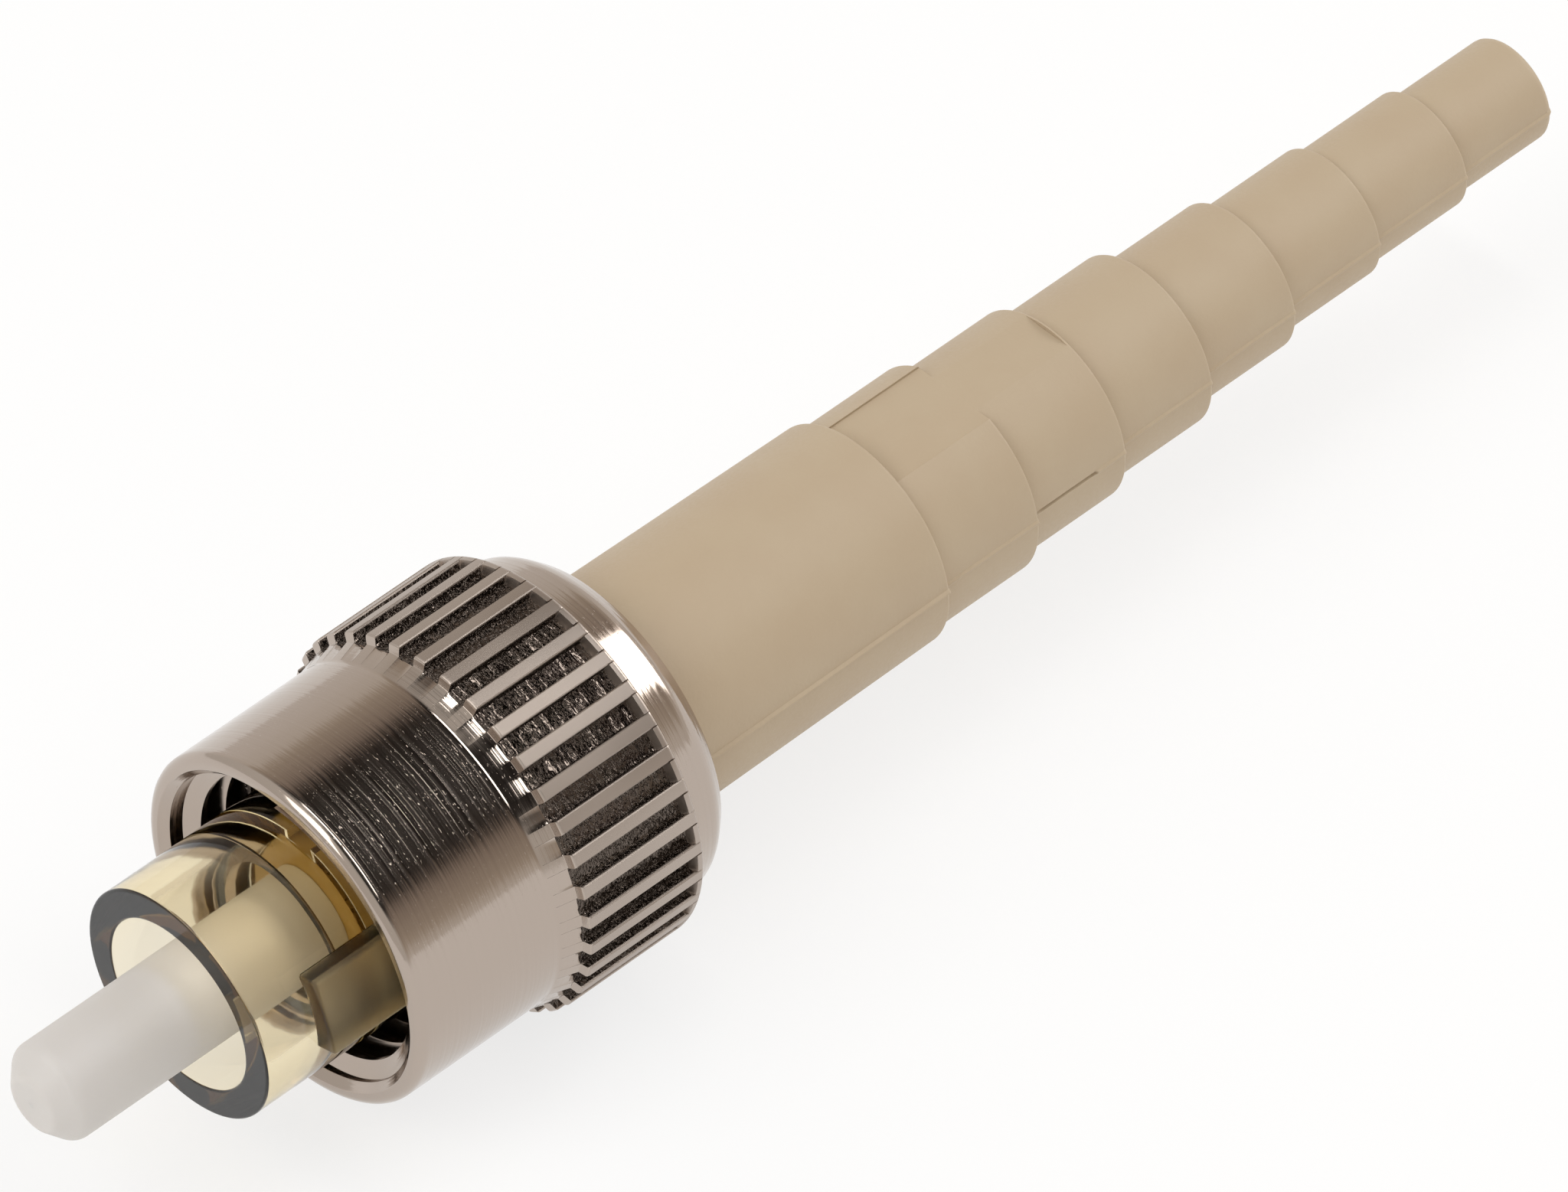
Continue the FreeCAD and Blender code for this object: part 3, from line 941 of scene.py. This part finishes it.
@dataclass
class Boot:
    """Stepped boot with its parting ridges and the flat panel. Sizes in millimetres."""

    front: float = 12.2
    shoulder: float = 20.85
    end: float = 41.6
    front_r: float = 2.985
    shoulder_r: float = 2.907
    shares: tuple[float, ...] = (0.915, 0.836, 0.755, 0.65, 0.57, 0.516, 0.452)
    front_round: float = 0.05
    edge_round: float = 0.07
    root_round: float = 0.03
    end_round: float = 0.2
    hole_round: float = 0.04
    room_r: float = 2.3
    room_end: float = 20.2
    throat_r: float = 1.2
    throat_end: float = 29.1
    bore_r: float = 0.6
    bore_start: float = 29.7
    panel_half: float = 1.18
    panel_floor: float = 2.4
    panel_end: float = 26.7
    ridge_tilt: float = 5.0
    ridge_half: float = 0.07
    ridge_height: Place = (0.075, 0.045)
    slit: Place = (24.1, 25.8)
    slit_depth: float = 0.12
    slit_half: float = 0.05
    slit_end: float = 0.06
    ridge_columns: tuple[float, ...] = (0.015, 0.03, 0.05, 0.075, 0.14)
    arc_columns: int = 72
    crease_deg: float = 32.0

    def corners(self) -> list[Point]:
        """Corners of the section, from the front round the outside and back through the bore."""
        found: list[Point] = [
            (self.front, self.front_r, self.front_round),
            (self.shoulder, self.shoulder_r, self.edge_round),
        ]
        step = (self.end - self.shoulder) / len(self.shares)
        for i, share in enumerate(self.shares):
            r = self.front_r * share
            found.append((self.shoulder + step * i, r, self.root_round))
            found.append((self.shoulder + step * (i + 1), r, self.edge_round))
        found[-1] = (self.end, found[-1][1], self.end_round)
        return found + [
            (self.end, self.bore_r, self.hole_round), (self.bore_start, self.bore_r, 0),
            (self.throat_end, self.throat_r, 0), (self.room_end, self.throat_r, 0),
            (self.room_end, self.room_r, 0), (self.front, self.room_r, 0),
        ]

    def profile(self) -> list[tuple[float, float, bool]]:
        """Stations, radii and whether the place is outside, with extra rows at the slit's ends."""
        found: list[tuple[float, float, bool]] = []
        inside = False
        for y, r in rounded(self.corners(), 4):
            inside = inside or (y > self.end - 0.02 and r < self.bore_r + 0.1)
            if found and not inside:
                found += self.slit_rows(found[-1][0], y, r)
            found.append((y, r, not inside))
        return found

    def slit_rows(self, last: float, y: float, r: float) -> list[tuple[float, float, bool]]:
        """Rows at the slit's ends, where the run from the last row to this one passes them."""
        marks = [place + shift for place in self.slit for shift in (-self.slit_end, 0.0, self.slit_end)]
        return [(mark, r, True) for mark in marks if last + 0.2 < mark < y - 0.2]

    def relief(self, side: int, offset: float, y: float) -> float:
        """How far the surface stands out of, or into, the plain step beside a parting line.

        Args:
            side: +1 for the line on the right, -1 for the other.
            offset: sideways place from the line in millimetres.
            y: station in millimetres.

        Returns:
            The height in millimetres.
        """
        tall, low = self.ridge_height
        height = tall if y < self.shoulder + 0.01 else low
        shape = max(0.0, 1 - (offset / self.ridge_half) ** 2)
        within = self.slit[0] - 0.01 < y < self.slit[1] + 0.01
        if side > 0 and within:
            return -self.slit_depth * max(0.0, 1 - abs(offset) / self.slit_half)
        return height * shape

    def row(self, y: float, r: float, outside: bool) -> list[Point]:
        """Points round the boot at one place of its profile."""
        offsets = [-t for t in reversed(self.ridge_columns)] + [0.0, *self.ridge_columns]
        points: list[Point] = []
        tilt = math.radians(self.ridge_tilt)
        for side in (1, -1):
            line = tilt if side > 0 else math.pi + tilt
            for offset in offsets:
                angle = line + offset / r
                reach = r + (self.relief(side, offset, y) if outside else 0.0)
                points.append((reach * math.cos(angle), y, reach * math.sin(angle)))
            first = line + offsets[-1] / r
            arc = math.pi - 2 * offsets[-1] / r
            for k in range(1, self.arc_columns):
                angle = first + arc * k / self.arc_columns
                points.append((r * math.cos(angle), y, r * math.sin(angle)))
        return points

    def build(self, beige: bpy.types.Material) -> None:
        """Makes the boot and cuts its panel.

        Args:
            beige: the boot's finish.
        """
        rows = [self.row(*place) for place in self.profile()]
        piece = ring_object("boot_body", rows, self.crease_deg)
        bar = bar_object(
            "panel", (-self.panel_half, self.shoulder - 0.001, self.panel_floor),
            (self.panel_half, self.panel_end, 2 * self.front_r), 0, 0,
        )
        combine(piece, bar, Cut.TAKE, self.crease_deg)
        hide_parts("boot")
        place_piece(piece, Body.PLUG, "boot", beige)


# The studio


@dataclass(frozen=True)
class Lamp:
    """A soft flat lamp: where it hangs, its sides, the first along the plug, and its watts."""

    name: str
    place: Point
    size: Place
    power: float


@dataclass
class Studio:
    """Pale floor, soft lamps and the camera. Lengths in metres, camera angles in degrees."""

    floor_z: float = -0.00497
    floor_half: float = 0.9
    floor_colour: str = "#FAFAF9"
    floor_white: float = 0.75
    front_sky: str = "#DEDBD7"
    front_gap: str = "#2A2725"
    gap_towards: Point = (0.56, 0.08, 0.82)
    gap_edge: Place = (0.8, 0.92)
    back_from: Place = (-0.1, 0.25)
    back_sky: tuple[tuple[float, str], ...] = (
        (0.0, "#E6E1DC"), (0.27, "#DED8D1"), (0.36, "#C0B5A8"),
        (0.6, "#A0948A"), (0.74, "#2E2A27"), (1.0, "#1E1C1A"),
    )
    sky_lean: Point = (0.25, 0.0, 1.0)
    lamps: tuple[Lamp, ...] = (
        Lamp("key_strip", (0.18, 0.17, 0.62), (0.1, 0.8), 1.5),
        Lamp("fill_softbox", (-0.10, -0.45, 0.50), (0.4, 0.4), 1.3),
        Lamp("rim_softbox", (0.1, 0.62, 0.33), (0.35, 0.35), 1.8),
    )
    azimuth: float = 48.6091
    elevation: float = 45.6036
    roll: float = -2.3668
    distance: float = 0.40873
    aim: Point = (-0.0000441, 0.0184419, -0.0003289)
    focal_px: float = 23559.6
    sensor: float = 36.0
    clip: Place = (0.05, 5.0)

    def build(self) -> None:
        """Sets the stage, lights it and places the camera."""
        self.floor()
        self.world()
        for lamp in self.lamps:
            self.hang(lamp)
        self.camera()
        bpy.context.scene.view_settings.view_transform = "Standard"

    def floor(self) -> None:
        """A pale matt floor that takes the shadow and shows nearly white to the camera, metal and resin."""
        half = self.floor_half
        mesh = bpy.data.meshes.new("floor")
        corners = [(x * half, y * half, self.floor_z) for x, y in ((-1, -1), (1, -1), (1, 1), (-1, 1))]
        mesh.from_pydata(corners, [], [(0, 1, 2, 3)])
        made = bpy.data.objects.new("floor", mesh)
        bpy.context.scene.collection.objects.link(made)
        paper, tree, _ = new_material("pale_paper_floor")
        ray = add_node(tree, "ShaderNodeLightPath", {})
        seen = add_node(
            tree, "ShaderNodeMath", {"operation": "ADD"},
            {0: ray.outputs["Is Camera Ray"], 1: ray.outputs["Is Glossy Ray"]},
        )
        shown = add_node(
            tree, "ShaderNodeMath", {"operation": "ADD", "use_clamp": True},
            {0: seen.outputs["Value"], 1: ray.outputs["Is Transmission Ray"]},
        )
        share = spread(tree, shown.outputs["Value"], (0.0, 1.0), (0.0, self.floor_white))
        matt = add_node(tree, "ShaderNodeBsdfDiffuse", {"Color": linear(self.floor_colour)})
        white = add_node(tree, "ShaderNodeEmission", {"Strength": 1.0})
        mixed = add_node(
            tree, "ShaderNodeMixShader", {},
            {0: share, 1: matt.outputs["BSDF"], 2: white.outputs["Emission"]},
        )
        add_node(tree, "ShaderNodeOutputMaterial", {}, {"Surface": mixed.outputs["Shader"]})
        mesh.materials.append(paper)

    def world(self) -> None:
        """A light tent: pale low all round, open and dark above the plug's far end and over the viewer."""
        world = bpy.data.worlds.new("light_tent")
        world.use_nodes = True
        tree = world.node_tree
        tree.nodes.clear()
        place = add_node(tree, "ShaderNodeTexCoord", {})
        height = add_node(
            tree, "ShaderNodeVectorMath", {"operation": "DOT_PRODUCT", 1: self.sky_lean},
            {0: place.outputs["Generated"]},
        )
        ramp = add_node(tree, "ShaderNodeValToRGB", {}, {"Fac": height.outputs["Value"]})
        points = ramp.color_ramp.elements
        while len(points) < len(self.back_sky):
            points.new(0.5)
        for point, (where, colour) in zip(points, self.back_sky):
            point.position = where
            point.color = linear(colour)
        along = add_node(tree, "ShaderNodeSeparateXYZ", {}, {"Vector": place.outputs["Generated"]})
        behind = spread(tree, along.outputs["Y"], self.back_from)
        facing = add_node(
            tree, "ShaderNodeVectorMath", {"operation": "DOT_PRODUCT", 1: self.gap_towards},
            {0: place.outputs["Generated"]},
        )
        gap = spread(tree, facing.outputs["Value"], self.gap_edge)
        front = two_tone(tree, self.front_sky, self.front_gap, gap)
        tent = add_node(
            tree, "ShaderNodeMix", {"data_type": "RGBA"},
            {0: behind, 6: front, 7: ramp.outputs["Color"]},
        )
        glow = add_node(tree, "ShaderNodeBackground", {"Strength": 1.0}, {"Color": tent.outputs[2]})
        add_node(tree, "ShaderNodeOutputWorld", {}, {"Surface": glow.outputs["Background"]})
        bpy.context.scene.world = world

    def hang(self, lamp: Lamp) -> None:
        """Hangs a lamp so that it looks at the plug.

        Args:
            lamp: the lamp to hang.
        """
        light = bpy.data.lights.new(lamp.name, "AREA")
        light.shape = "RECTANGLE"
        light.size, light.size_y = lamp.size
        light.energy = lamp.power
        made = bpy.data.objects.new(lamp.name, light)
        made.location = lamp.place
        made.rotation_mode = "QUATERNION"
        away = (Vector(lamp.place) - Vector(self.aim)).normalized()
        along = Vector((0, 1, 0)).cross(away).normalized().cross(away) * -1
        made.rotation_quaternion = Matrix((along, away.cross(along), away)).transposed().to_quaternion()
        bpy.context.scene.collection.objects.link(made)

    def camera(self) -> None:
        """Places the camera at the photograph's viewpoint."""
        turn, rise, roll = (math.radians(value) for value in (self.azimuth, self.elevation, self.roll))
        back = Vector((math.sin(turn) * math.cos(rise), -math.cos(turn) * math.cos(rise), math.sin(rise)))
        level = Vector((math.cos(turn), math.sin(turn), 0))
        right = level * math.cos(roll) + back.cross(level) * math.sin(roll)
        axes = Matrix((right, back.cross(right), back)).transposed()
        lens = bpy.data.cameras.new("camera")
        lens.sensor_fit = "HORIZONTAL"
        lens.sensor_width = self.sensor
        lens.lens = self.focal_px / PHOTO_WIDTH * self.sensor
        lens.clip_start, lens.clip_end = self.clip
        made = bpy.data.objects.new("camera", lens)
        made.location = Vector(self.aim) + back * self.distance
        made.rotation_mode = "QUATERNION"
        made.rotation_quaternion = axes.to_quaternion()
        bpy.context.scene.collection.objects.link(made)
        bpy.context.scene.camera = made


def dress_nodes(finishes: dict[str, bpy.types.Material]) -> None:
    """Gives the pieces that keep their solid shape their finish.

    Args:
        finishes: the material of each node, by the node's name.
    """
    for name, material in finishes.items():
        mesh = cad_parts[name].data
        mesh.materials.clear()
        mesh.materials.append(material)
        LOG.info("%s keeps its solid in %s", name, material.name)


def main() -> None:
    """Builds the plug's pieces in order, then the studio."""
    logging.basicConfig(level=logging.INFO, format="%(name)s %(message)s")
    splice = MouldedResin("clear_splice_resin", "#CFCBB8", "#C4BEA6", 0.25, 0.5).material()
    land = TurnedNickel("satin_nickel_lands", "#B5A99F", 0.36, line_mm=6.0, mark_depth=0.0000005)
    # The flute floors are the same nickel plate. Their dark base colour is painted shade and painted dark
    # reflection for the grooves, while their glittering chatter marks are real relief.
    floor = TurnedNickel(
        "torn_nickel_flutes_painted_shade", "#625952", 0.08, mark_mm=0.05, mark_depth=0.00003, mark_from=0.42
    )
    CouplingNut().build({
        PlateFinish.SMOOTH: TurnedNickel("turned_nickel_plate", "#B4A79C", 0.12).material(),
        PlateFinish.LAND: land.material(),
        PlateFinish.FLOOR: floor.material(),
    })
    PlugFrame().build(ClearAmber().material())
    Ferrule().build(GroundZirconia().material())
    Spring().build(DrawnMetal("drawn_spring_steel", "#B4B2AE", 0.28).material())
    Boot().build(MouldedBeige().material())
    dress_nodes({
        "fibre_stub": MouldedResin("bare_glass_fibre", "#D2D0CC", "#CECBC8", 0.3).material(),
        "ferrule_holder": MouldedResin("amber_holder_resin", "#C9A860", "#BC9A52", 0.3, 0.3).material(),
        "splice_half_lower": splice,
        "splice_half_upper": splice,
        "cam_sleeve": MouldedResin("natural_cam_resin", "#DCD8CC", "#D2CCBC").material(),
        "crimp_tube": DrawnMetal("annealed_aluminium", "#C8C8C8", 0.35).material(),
        "spring_retainer": DrawnMetal("plated_retainer_brass", "#C6BCAE", 0.25).material(),
        "retaining_ring": DrawnMetal("blued_ring_steel", "#8C8A88", 0.35).material(),
    })
    Studio().build()


if __name__ == "__main__":
    main()
